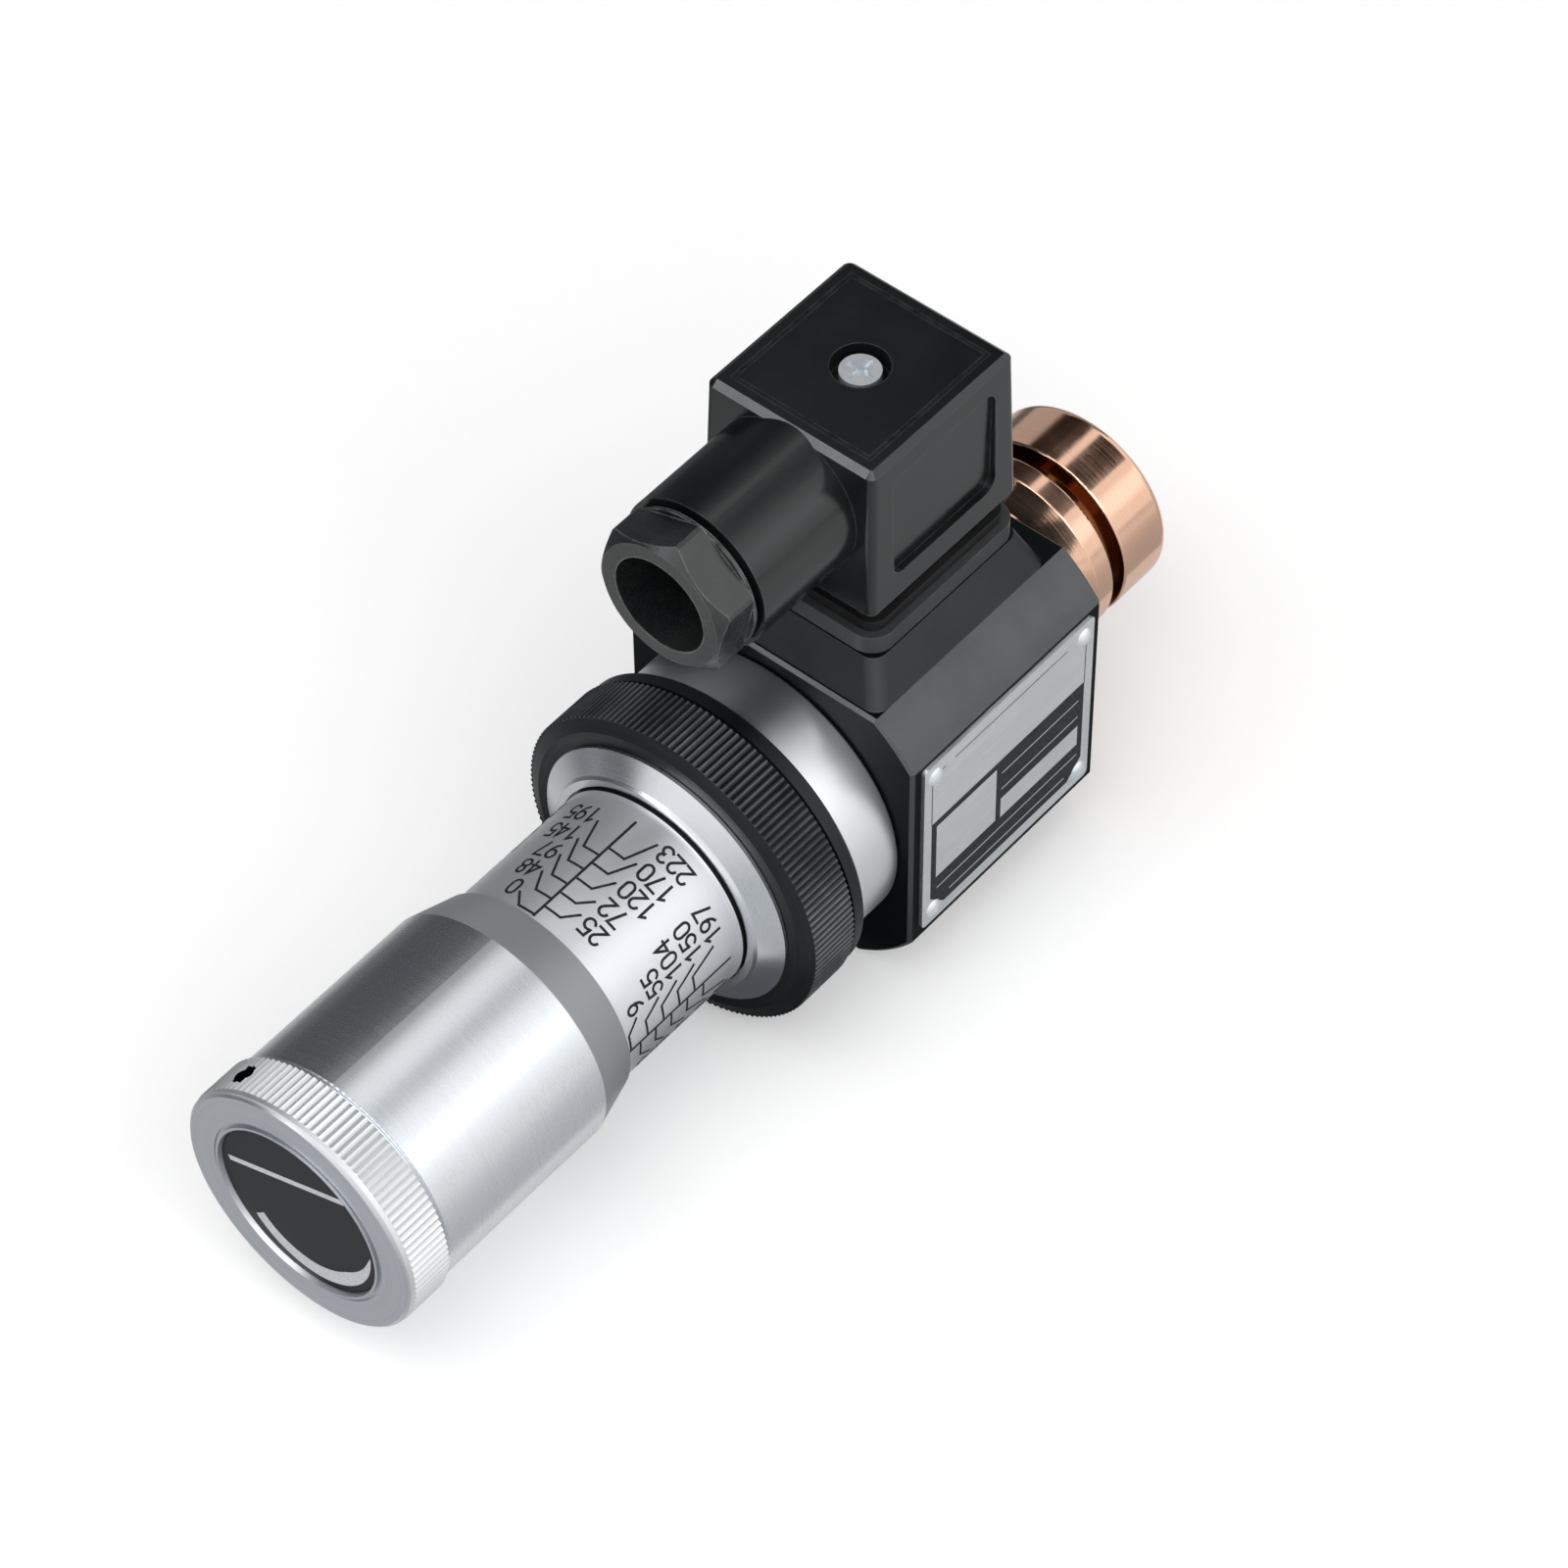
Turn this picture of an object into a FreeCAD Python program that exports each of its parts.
import FreeCAD, Part
import math
import os
import re
import Sketcher

# Hydraulic pressure switch with a graduated adjusting drum, a square body and a plug connector on top.
# X runs along the switch axis from the drum to the pressure port and Z is up. Sizes are in millimetres.
# The places below are measured from the front face of the body block. Each finished sub-part is then moved
# along X, so that the origin of the model lies on the axis where the thread of the pressure port begins.
# A shape that cuts runs 1 mm past the metal, and a shape that is joined on starts 1 mm inside it.

# Driving sizes, each written once
DRIVING = [
    ("block_length", "41.1", "body block along the switch axis"),
    ("block_width", "50.0", "body block across"),
    ("block_top", "25.5", "switch axis to the top flat"),
    ("block_bottom", "25.5", "switch axis to the underside"),
    ("corner_reach_top", "6.15", "turning radius of the upper corners beyond the mean half side"),
    ("corner_reach_bottom", "4.95", "turning radius of the lower corners beyond the mean half side"),
    ("block_edge_break", "0.5", "chamfer round both end faces"),
    ("fit_gap", "0.05", "radial gap of a fixed fit"),
    ("running_gap", "0.06", "radial gap of a shaft that turns or slides"),
    ("side_gap", "0.1", "axial gap beside a part that turns"),
    ("clear_gap", "0.4", "gap round a part that moves freely"),
    ("edge_break", "0.4", "small turned chamfer"),
    # Collar, lock ring and nose
    ("collar_length", "9.85", "collar band in front of the block"),
    ("collar_spigot", "6.0", "collar screwed into the block"),
    ("ring_length", "11.75", "lock ring"),
    ("ring_radius", "25.6", "tips of the lock ring knurl"),
    ("ring_front_bevel", "0.8", "axial length of the front bevel"),
    ("ring_rear_band", "2.35", "smooth band behind the knurl"),
    ("ring_groove", "0.6", "groove between knurl and band"),
    ("ring_groove_depth", "0.55", "depth of that groove"),
    ("ring_rear_bevel", "0.5", "rear bevel"),
    ("knurl_depth", "0.35", "depth of both knurls"),
    ("ring_teeth", "150", "knurl teeth round the lock ring"),
    ("nose_length", "2.9", "clamp nose in front of the lock ring"),
    ("nose_lip", "0.5", "cylindrical edge of the clamp nose"),
    ("nose_socket", "1.4", "socket over the collar neck"),
    # Radii of the turned parts, each as a share of the radius of the lock ring
    ("collar_ratio", "0.8945", "collar band"),
    ("spigot_ratio", "0.6836", "thread of the collar's spigot"),
    ("neck_ratio", "0.7422", "collar neck that carries the lock ring"),
    ("ring_face_ratio", "0.9141", "flat front of the lock ring"),
    ("nose_ratio", "0.832", "clamp nose"),
    ("nose_face_ratio", "0.707", "front face of the clamp nose"),
    ("barrel_ratio", "0.6367", "graduated barrel"),
    ("thimble_ratio", "0.7422", "drum sleeve"),
    ("rim_ratio", "0.668", "outer edge of the reading rim"),
    ("cap_ratio", "0.768", "tips of the cap knurl"),
    ("label_ratio", "0.5273", "label disc"),
    ("spring_ratio", "0.4023", "range spring"),
    ("seat_boss_ratio", "0.2734", "boss round the thrust ball"),
    # Barrel and drum
    ("barrel_wall", "2.5", "barrel wall"),
    ("bush_length", "14.0", "threaded bush in the barrel"),
    ("thread_pitch", "3.3", "drum travel in one turn"),
    ("scale_turns", "5", "turns over the whole scale"),
    ("rim_margin", "8.1", "drum rim to the nose at the end of the scale"),
    ("end_clearance", "0.5", "cap to barrel at the end of the scale"),
    ("drum_gap", "0.3", "radial gap between barrel and drum"),
    ("thimble_length", "38.2", "drum sleeve"),
    ("thimble_cone", "7.1", "tapered rear end of the sleeve"),
    ("cap_length", "8.1", "knurled end cap"),
    ("cap_bevel", "0.5", "front bevel of the cap"),
    ("cap_front_band", "1.2", "smooth band in front of the cap knurl"),
    ("cap_knurl", "6.4", "length of the cap knurl"),
    ("cap_teeth", "110", "knurl teeth round the cap"),
    ("cap_spigot", "1.5", "cap inside the sleeve"),
    ("label_thickness", "0.5", "label disc"),
    ("label_depth", "0.9", "recess for the label disc"),
    ("bead_width", "0.7", "raised bead round the label"),
    ("bead_height", "0.3", "raised bead above the cap face"),
    ("bead_groove", "0.5", "groove outside the bead"),
    ("spindle_radius", "5.0", "adjusting spindle"),
    ("spindle_length", "41.5", "adjusting spindle"),
    ("spindle_cover", "2.1", "cap metal in front of the spindle"),
    ("set_screw_radius", "1.6", "set screw in the cap"),
    ("set_screw_length", "7.0", "set screw in the cap"),
    ("set_screw_place", "4.2", "set screw behind the cap face"),
    ("set_screw_angle", "52.9", "set screw above the horizontal, towards +Y"),
    ("set_screw_socket", "1.0", "hexagon socket, corner radius"),
    # Range spring and its seats
    ("ball_radius", "3.0", "thrust ball"),
    ("ball_show", "0.4", "ball centre in front of its seat"),
    ("seat_boss_length", "2.5", "boss round the ball"),
    ("seat_flange", "3.0", "flange under the spring"),
    ("wire_radius", "1.3", "range spring wire"),
    ("spring_coils", "7", "range spring"),
    ("spring_guide", "3.5", "spigot inside the spring end"),
    ("push_plate", "3.0", "spring plate of the push rod"),
    ("stem_radius", "4.0", "stem of the push rod"),
    ("stem_tail", "0.4", "stem behind the fitting's spigot"),
    ("trip_place", "17.0", "trip collar from the block front"),
    ("trip_length", "2.0", "trip collar"),
    ("trip_radius", "6.3", "trip collar"),
    # Hydraulic end
    ("spigot_length", "14.0", "fitting screwed into the block"),
    ("spigot_radius", "11.0", "thread of that spigot"),
    ("shoulder_radius", "13.4", "shoulder against the block"),
    ("shoulder_length", "2.2", "shoulder against the block"),
    ("seal_width", "1.2", "seal under the shoulder"),
    ("seal_radius", "12.6", "seal under the shoulder"),
    ("waist_radius", "12.2", "waist of the fitting"),
    ("waist_length", "6.5", "waist of the fitting"),
    ("land_radius", "15.0", "outer bands of the fitting"),
    ("flare_length", "3.5", "cone from waist to front band"),
    ("land_length", "3.5", "front band"),
    ("groove_length", "2.6", "groove between the bands"),
    ("groove_radius", "13.3", "groove between the bands"),
    ("hub_length", "10.0", "rear band"),
    ("hub_round", "1.5", "rounded rear edge"),
    ("port_radius", "5.75", "threaded pressure port"),
    ("port_depth", "13.0", "threaded pressure port"),
    ("port_bevel", "0.9", "mouth of the port"),
    ("channel_radius", "2.0", "pressure channel"),
    ("sleeve_radius", "7.0", "piston sleeve"),
    ("sleeve_length", "17.9", "piston sleeve"),
    ("sleeve_recess", "1.0", "sleeve behind the spigot end"),
    ("piston_radius", "3.0", "piston"),
    ("piston_short", "0.8", "piston in front of the sleeve's rear end"),
    ("piston_seal_length", "2.4", "piston seal"),
    ("piston_seal_radius", "5.5", "piston seal"),
    # Switch chamber
    ("slot_front", "12.0", "lever slot from the block front"),
    ("slot_length", "10.5", "lever slot"),
    ("slot_half", "6.8", "lever slot, half its width"),
    ("slot_floor", "8.0", "lever slot below the axis"),
    ("chamber_length", "22.0", "switch chamber"),
    ("chamber_half", "10.2", "switch chamber, half its width"),
    ("chamber_floor", "16.3", "switch chamber above the axis"),
    ("switch_place", "17.8", "microswitch from the block front"),
    ("switch_depth", "10.2", "microswitch along X"),
    ("switch_width", "19.8", "microswitch across"),
    ("switch_height", "6.4", "microswitch"),
    ("switch_screw_place", "7.4", "screws behind the button face"),
    ("switch_screw_half", "4.75", "screws, half their spacing"),
    ("switch_screw_radius", "1.1", "microswitch screws"),
    ("switch_screw_depth", "5.2", "microswitch screws in the block"),
    ("switch_head_radius", "1.9", "microswitch screw heads"),
    ("switch_head_height", "1.4", "microswitch screw heads"),
    ("button_radius", "1.2", "switch button"),
    ("button_show", "0.9", "button in front of the microswitch"),
    ("button_length", "2.7", "switch button"),
    ("sense_travel", "0.8", "travel of the piston and the button"),
    ("terminal_length", "4.0", "microswitch terminals"),
    ("terminal_half", "7.2", "outer terminals from the middle"),
    ("terminal_width", "2.4", "microswitch terminals"),
    ("terminal_thickness", "0.6", "microswitch terminals"),
    ("lever_thickness", "1.5", "switch lever plate"),
    ("lever_width", "12.0", "switch lever fork"),
    ("lever_arm_width", "7.0", "upper arm of the lever"),
    ("lever_pivot_place", "14.85", "lever pin from the block front"),
    ("lever_pivot_height", "9.8", "lever pin above the axis"),
    ("lever_pivot_radius", "2.0", "barrel round the lever pin"),
    ("lever_foot_reach", "1.3", "foot of the fork"),
    ("lever_pad_reach", "1.0", "pad at the button"),
    ("pad_gap", "0.3", "lever pad to the button"),
    ("foot_gap", "0.1", "lever foot to the trip collar"),
    ("pin_radius", "1.0", "lever pin"),
    ("pin_far_end", "10.3", "lever pin beyond the middle"),
    ("wire_outer_radius", "0.7", "lead wires"),
    ("wire_upright", "0.6", "upright pull at both ends of a lead wire, share of its rise"),
    # Connector stack
    ("connector_place", "19.1", "connector axis from the block front"),
    ("riser_height", "6.5", "connector riser"),
    ("riser_foot_half", "18.3", "riser at the block, half its width"),
    ("riser_top_half", "15.5", "riser at the flange, half its width"),
    ("riser_corner", "2.5", "rounded corners of the riser"),
    ("passage_half", "10.2", "wire passage through the riser"),
    ("passage_rear", "13.4", "wire passage behind the connector axis"),
    ("flange_thickness", "3.4", "connector flange"),
    ("flange_corner", "3.5", "rounded corners of the flange"),
    ("platform_half", "10.6", "raised platform of the flange"),
    ("platform_height", "2.4", "raised platform of the flange"),
    ("pillar_radius", "3.2", "threaded pillar"),
    ("pillar_height", "6.0", "threaded pillar"),
    ("flange_screw_offset", "11.9", "flange screws from the connector axis"),
    ("flange_screw_radius", "1.5", "flange screws"),
    ("flange_head_radius", "2.3", "flange screws, countersunk head"),
    ("flange_screw_depth", "7.5", "flange screws in the block"),
    ("blade_offset", "9.0", "contact blades from the connector axis"),
    ("blade_width", "6.3", "contact blades"),
    ("blade_thickness", "0.8", "contact blades"),
    ("blade_height", "10.6", "contact blades above the flange"),
    ("blade_tail", "2.0", "contact blades below the flange"),
    ("gasket_thickness", "1.8", "plug gasket"),
    ("gasket_half", "14.3", "plug gasket, half its width"),
    ("insert_slab", "3.0", "visible slab of the terminal insert"),
    ("insert_slab_half", "13.5", "slab, half its width"),
    ("insert_gap", "1.4", "block of the insert to the walls of the plug housing"),
    ("insert_height", "9.8", "block of the insert above the slab"),
    ("terminal_screw_offset", "7.6", "terminal screws from the connector axis"),
    ("terminal_screw_radius", "1.4", "terminal screws"),
    ("terminal_head_radius", "2.3", "terminal screw heads"),
    ("terminal_head_height", "1.2", "terminal screw heads"),
    ("terminal_screw_depth", "5.0", "terminal screws"),
    # Plug housing and cable gland
    ("plug_height", "26.0", "plug housing"),
    ("plug_top_length", "29.4", "plug housing along X at the top"),
    ("plug_top_width", "28.1", "plug housing across at the top"),
    ("plug_draft", "0.7", "widening of each side down to the open end"),
    ("plug_wall", "1.9", "plug housing"),
    ("plug_roof", "5.2", "plug housing, top wall"),
    ("plug_corner", "1.2", "rounded upright corners"),
    ("plug_bevel", "0.9", "bevel round the top"),
    ("plug_line_inset", "2.3", "groove line inside the top edge"),
    ("plug_line_width", "0.5", "groove line"),
    ("plug_line_depth", "0.3", "groove line"),
    ("panel_margin", "4.0", "recessed panel inside the side face"),
    ("panel_depth", "0.5", "recessed panel"),
    ("panel_corner", "2.0", "rounded corners of the panel"),
    ("screw_well_radius", "4.1", "well for the centre screw"),
    ("screw_well_depth", "2.9", "well for the centre screw"),
    ("screw_radius", "1.5", "centre screw"),
    ("screw_head_radius", "2.9", "centre screw head"),
    ("screw_head_height", "2.1", "centre screw head"),
    ("screw_slot_width", "0.8", "cross recess"),
    ("screw_slot_depth", "1.0", "cross recess"),
    ("gland_drop", "11.8", "gland axis below the plug top"),
    ("gland_radius", "11.7", "gland tube"),
    ("gland_reach", "18.8", "gland tube in front of the plug"),
    ("gland_bore", "9.45", "thread inside the gland tube"),
    ("gland_bore_depth", "15.4", "thread inside the gland tube"),
    ("gland_passage", "6.5", "cable passage into the plug"),
    ("nut_gap", "0.7", "nut flange to the tube"),
    ("nut_flange", "0.5", "washer face of the nut"),
    ("nut_flange_radius", "10.9", "washer face of the nut"),
    ("nut_length", "6.1", "gland nut head"),
    ("nut_corner_radius", "11.6", "gland nut over the corners"),
    ("nut_trim_radius", "11.0", "turned corners of the gland nut"),
    ("nut_bevel", "1.3", "front bevel of the gland nut"),
    ("nut_shank", "8.0", "gland nut inside the tube"),
    ("nut_bore", "7.45", "cable opening"),
    ("nut_turn", "11.0", "first corner above the horizontal, degrees"),
    ("washer_thickness", "1.0", "gland washer"),
    ("washer_bore", "5.4", "gland washer"),
    ("cable_bore", "4.0", "gland seal"),
    # Nameplate
    ("plate_length", "37.0", "nameplate along X"),
    ("plate_height", "33.4", "nameplate"),
    ("plate_middle", "20.4", "nameplate from the block front"),
    ("plate_rise", "1.7", "nameplate above the axis"),
    ("plate_thickness", "0.6", "nameplate"),
    ("plate_corner", "0.9", "rounded corners"),
    ("rivet_half_x", "16.2", "rivets, half their spacing along X"),
    ("rivet_half_z", "14.1", "rivets, half their spacing upwards"),
    ("rivet_radius", "0.9", "rivet shank"),
    ("rivet_ball", "1.9", "ball radius of the rivet head"),
    ("rivet_angle", "38.0", "flat side of the rivet head, degrees of latitude"),
    ("rivet_depth", "4.0", "rivet in the block"),
]

# Places that follow from the sizes, as spreadsheet expressions
PLACES = {
    "corner_radius_top": "(block_width / 2 + block_top) / 2 + corner_reach_top",
    "corner_radius_bottom": "(block_width / 2 + block_bottom) / 2 + corner_reach_bottom",
    "collar_radius": "ring_radius * collar_ratio",
    "collar_spigot_radius": "ring_radius * spigot_ratio",
    "neck_radius": "ring_radius * neck_ratio",
    "ring_face_radius": "ring_radius * ring_face_ratio",
    "nose_radius": "ring_radius * nose_ratio",
    "nose_face_radius": "ring_radius * nose_face_ratio",
    "barrel_radius": "ring_radius * barrel_ratio",
    "thimble_radius": "ring_radius * thimble_ratio",
    "thimble_rim_radius": "ring_radius * rim_ratio",
    "cap_radius": "ring_radius * cap_ratio",
    "label_radius": "ring_radius * label_ratio",
    "spring_mean_radius": "ring_radius * spring_ratio",
    "seat_boss_radius": "ring_radius * seat_boss_ratio",
    "travel": "thread_pitch * scale_turns",
    "collar_front": "-collar_length",
    "ring_rear": "collar_front - side_gap",
    "ring_front": "ring_rear - ring_length",
    "ring_knurl_front": "ring_front + ring_front_bevel",
    "ring_knurl_rear": "ring_rear - ring_rear_band - ring_groove",
    "nose_rear": "ring_front - side_gap",
    "nose_front": "nose_rear - nose_length",
    "neck_front": "nose_rear - nose_socket",
    "barrel_bore": "barrel_radius - barrel_wall",
    "drum_bore": "barrel_radius + drum_gap",
    "rim_place": "nose_front - rim_margin - travel",
    "drum_front": "rim_place - thimble_length",
    "cap_face": "drum_front - cap_length",
    "cap_inner": "drum_front + cap_spigot",
    "cap_knurl_front": "cap_face + cap_front_band",
    "cap_knurl_rear": "cap_knurl_front + cap_knurl",
    "label_floor": "cap_face + label_depth",
    "barrel_front": "cap_inner + travel + end_clearance",
    "bush_rear": "barrel_front + bush_length",
    "spindle_front": "cap_face + spindle_cover",
    "spindle_tip": "spindle_front + spindle_length",
    "ball_place": "spindle_tip + side_gap + ball_radius",
    "seat_front": "ball_place + ball_show",
    "seat_flange_front": "seat_front + seat_boss_length",
    "seat_face": "seat_flange_front + seat_flange",
    "plate_face": "collar_spigot - push_plate",
    "guide_radius": "spring_mean_radius - wire_radius - clear_gap",
    "rider_radius": "barrel_bore - clear_gap",
    "spigot_front": "block_length - spigot_length",
    "stem_end": "spigot_front + stem_tail",
    "sleeve_front": "spigot_front + sleeve_recess",
    "sleeve_rear": "sleeve_front + sleeve_length",
    "shoulder_rear": "block_length + shoulder_length",
    "waist_rear": "shoulder_rear + waist_length + shoulder_radius - waist_radius",
    "land_front": "waist_rear + flare_length",
    "land_rear": "land_front + land_length",
    "hub_front": "land_rear + groove_length",
    "fitting_rear": "hub_front + hub_length",
    "port_floor": "fitting_rear - port_depth",
    "port_mouth": "fitting_rear - port_bevel",
    "switch_top": "chamber_floor + switch_height",
    "switch_middle": "chamber_floor + switch_height / 2",
    "switch_rear": "switch_place + switch_depth",
    "switch_screw_x": "switch_place + switch_screw_place",
    "button_tip": "switch_place - button_show",
    "riser_top": "block_top + riser_height",
    "flange_top": "riser_top + flange_thickness",
    "gasket_top": "flange_top + gasket_thickness",
    "slab_top": "gasket_top + insert_slab",
    "insert_top": "slab_top + insert_height",
    "insert_half_x": "plug_top_length / 2 - plug_wall - insert_gap",
    "insert_half_y": "plug_top_width / 2 - plug_wall - insert_gap",
    "pillar_top": "flange_top + platform_height + pillar_height",
    "plug_top": "slab_top + plug_height",
    "plug_front": "connector_place - plug_top_length / 2",
    "roof_under": "plug_top - plug_roof",
    "well_floor": "plug_top - screw_well_depth",
    "gland_axis": "plug_top - gland_drop",
    "tube_front": "plug_front - gland_reach",
    "gland_floor": "tube_front + gland_bore_depth",
    "nut_rear": "tube_front - nut_gap",
    "nut_front": "nut_rear - nut_flange - nut_length",
    "shank_end": "nut_rear + nut_shank",
    "washer_rear": "shank_end + washer_thickness",
}

doc = FreeCAD.newDocument("pressure_switch")
sheet = doc.addObject("Spreadsheet::Sheet", "sizes")
for row, (alias, value, note) in enumerate(DRIVING, start=1):
    sheet.set("A%d" % row, note)
    sheet.set("B%d" % row, value)
    sheet.setAlias("B%d" % row, alias)
doc.recompute()

ALIASES = {alias for alias, value, note in DRIVING}
WORD = re.compile(r"[a-z_][a-z_0-9]*")
ALONG_X = FreeCAD.Rotation(FreeCAD.Vector(0, 1, 0), 90)
ALONG_Y = FreeCAD.Rotation(FreeCAD.Vector(1, 0, 0), -90)
UPRIGHT = FreeCAD.Rotation()
NOWHERE = ("0", "0", "0")
subparts = []


def bound(text):
    """An expression in words, with places written out and sizes read from the sheet."""
    def spell(match):
        word = match.group()
        if word in PLACES:
            return bound(PLACES[word])
        return "sizes." + word if word in ALIASES else word
    return "(" + WORD.sub(spell, str(text)) + ")"


gauge = doc.addObject("App::FeaturePython", "gauge")
gauge.addProperty("App::PropertyFloat", "Reading")


def measured(text):
    """The present value of an expression, for shapes that a formula draws."""
    gauge.setExpression("Reading", bound(text))
    gauge.recompute()
    return gauge.Reading


def place(item, at, turn=UPRIGHT):
    """Put an object at three expressions."""
    item.Placement = FreeCAD.Placement(FreeCAD.Vector(), turn)
    for letter, text in zip("xyz", at):
        item.setExpression("Placement.Base." + letter, bound(text))
    return item


def subpart(item, label):
    """Name a finished sub-part, move it to the frame of the port and keep it for the export."""
    item.Label = label
    present = [text for path, text in item.ExpressionEngine if path.endswith("Placement.Base.x")] + ["0"]
    item.setExpression("Placement.Base.x", present[0] + " - " + bound("port_mouth"))
    subparts.append(item)


def sketch_on(body, name, role, offset="0"):
    """An empty sketch on one of the body's own origin planes."""
    sketch = body.newObject("Sketcher::SketchObject", name)
    plane = [feature for feature in body.Origin.OriginFeatures if feature.Role == role][0]
    sketch.AttachmentSupport = [(plane, "")]
    sketch.MapMode = "FlatFace"
    sketch.setExpression("AttachmentOffset.Base.z", bound(offset))
    return sketch


def dimension(sketch, kind, geometry, text, guess):
    """A driving dimension, bound to an expression."""
    if kind in ("DistanceX", "DistanceY"):
        constraint = Sketcher.Constraint(kind, -1, 1, geometry, 1, guess)
    else:
        constraint = Sketcher.Constraint(kind, geometry, guess)
    sketch.setExpression("Constraints[%d]" % sketch.addConstraint(constraint), bound(text))


def outline(sketch, corners):
    """A closed outline through corners, each given as two expressions."""
    first = sketch.GeometryCount
    count = len(corners)
    guesses = [FreeCAD.Vector(measured(across), measured(up), 0) for across, up in corners]
    for index in range(count):
        sketch.addGeometry(Part.LineSegment(guesses[index], guesses[(index + 1) % count]), False)
    for index in range(count):
        joined = Sketcher.Constraint("Coincident", first + index, 2, first + (index + 1) % count, 1)
        sketch.addConstraint(joined)
    for index, (across, up) in enumerate(corners):
        dimension(sketch, "DistanceX", first + index, across, guesses[index].x)
        dimension(sketch, "DistanceY", first + index, up, guesses[index].y)


def rectangle(half_x, half_y, middle_x="0", middle_y="0"):
    """The corners of a rectangle about a middle point."""
    signs = ((-1, -1), (1, -1), (1, 1), (-1, 1))
    return [
        ("%s + (%d) * (%s)" % (middle_x, across, half_x), "%s + (%d) * (%s)" % (middle_y, up, half_y))
        for across, up in signs
    ]


def turned(name, profile, at=NOWHERE):
    """A body turned from a profile of (place along the axis, radius) pairs."""
    body = doc.addObject("PartDesign::Body", name)
    sketch = sketch_on(body, name + "_profile", "XZ_Plane")
    outline(sketch, profile)
    feature = body.newObject("PartDesign::Revolution", name + "_turning")
    feature.Profile = sketch
    feature.ReferenceAxis = (sketch, ["H_Axis"])
    feature.Angle = 360
    return place(body, at)


def padded(name, corners, length, role="XY_Plane", start="0", at=NOWHERE):
    """A body padded from a straight-sided outline."""
    body = doc.addObject("PartDesign::Body", name)
    sketch = sketch_on(body, name + "_outline", role, start)
    outline(sketch, corners)
    feature = body.newObject("PartDesign::Pad", name + "_pad")
    feature.Profile = sketch
    feature.setExpression("Length", bound(length))
    return place(body, at)


def tapered(name, low, high, low_place, high_place, at=NOWHERE):
    """A body that narrows upwards between two rectangles, each given by its two half sizes."""
    body = doc.addObject("PartDesign::Body", name)
    feature = body.newObject("PartDesign::AdditiveWedge", name + "_wedge")
    plane = [item for item in body.Origin.OriginFeatures if item.Role == "XZ_Plane"][0]
    feature.AttachmentSupport = [(plane, "")]
    feature.MapMode = "FlatFace"
    feature.setExpression("Ymin", bound(low_place))
    feature.setExpression("Ymax", bound(high_place))
    for level, sizes in (("", low), ("2", high)):
        for letter, size in zip("XZ", sizes):
            feature.setExpression(letter + level + "min", bound("-(%s)" % size))
            feature.setExpression(letter + level + "max", bound(size))
    return place(body, at)


def dressed(body, kind, name, size, wanted):
    """Fillet or chamfer the edges of a body that pass a test."""
    doc.recompute()
    base = body.Tip
    edges = ["Edge%d" % number for number, edge in enumerate(base.Shape.Edges, start=1) if wanted(edge)]
    feature = body.newObject("PartDesign::" + kind, name)
    feature.Base = (base, edges)
    feature.setExpression("Radius" if kind == "Fillet" else "Size", bound(size))
    return body


def slants_up(edge):
    """True for the upright or slanting edges between two outlines."""
    box = edge.BoundBox
    return box.ZLength > box.XLength and box.ZLength > box.YLength


def runs_across(edge):
    """True for the edges along Y."""
    box = edge.BoundBox
    return box.YLength > box.XLength and box.YLength > box.ZLength


def lies_at_height(text):
    """A test for edges that lie in one horizontal plane."""
    height = measured(text)

    def wanted(edge):
        return abs(edge.BoundBox.ZMin - height) < 1e-4 and abs(edge.BoundBox.ZMax - height) < 1e-4
    return wanted


def circle_at(along, radius):
    """A test for the round edge at one place of a turned body."""
    place_x, size = measured(along), measured(radius)

    def wanted(edge):
        box = edge.BoundBox
        return box.XLength < 1e-4 and abs(box.XMin - place_x) < 1e-4 and abs(box.ZMax - size) < 1e-3
    return wanted


def cylinder(name, radius, length, at, turn=UPRIGHT):
    """A plain cylinder."""
    item = doc.addObject("Part::Cylinder", name)
    item.setExpression("Radius", bound(radius))
    item.setExpression("Height", bound(length))
    return place(item, at, turn)


def block(name, size, at):
    """A plain block."""
    item = doc.addObject("Part::Box", name)
    for edge, text in zip(("Length", "Width", "Height"), size):
        item.setExpression(edge, bound(text))
    return place(item, at)


def joined(name, shapes):
    """Several shapes made one."""
    item = doc.addObject("Part::MultiFuse", name)
    item.Shapes = shapes
    return item


def without(name, base, tools):
    """A shape with tools cut away."""
    item = doc.addObject("Part::Cut", name)
    item.Base = base
    item.Tool = tools[0] if len(tools) == 1 else joined(name + "_tools", tools)
    return item


def both(name, first, second):
    """What two shapes have in common."""
    item = doc.addObject("Part::Common", name)
    item.Base = first
    item.Tool = second
    return item


def grouped(name, solids):
    """Separate solids kept in one node."""
    item = doc.addObject("Part::Compound", name)
    item.Links = solids
    return item


def knurl_band(name, start, end, tip_radius, teeth):
    """A ring of straight axial teeth, sharp at tip and root."""
    tip = measured(tip_radius)
    root = tip - measured("knurl_depth")
    count = 2 * int(measured(teeth))
    left, right = measured(start), measured(end)
    points = []
    for index in range(count):
        angle = 2 * math.pi * index / count
        radius = tip if index % 2 else root
        points.append(FreeCAD.Vector(left, radius * math.cos(angle), radius * math.sin(angle)))
    star = doc.addObject("Part::Feature", name + "_star")
    star.Shape = Part.Face(Part.makePolygon(points + points[:1])).extrude(FreeCAD.Vector(right - left, 0, 0))
    hollow = cylinder(name + "_hollow", "(%s) - 4 * knurl_depth" % tip_radius, "(%s) - (%s) + 2" % (end, start),
                      (start + " - 1", "0", "0"), ALONG_X)
    return without(name, star, [hollow])


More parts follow.
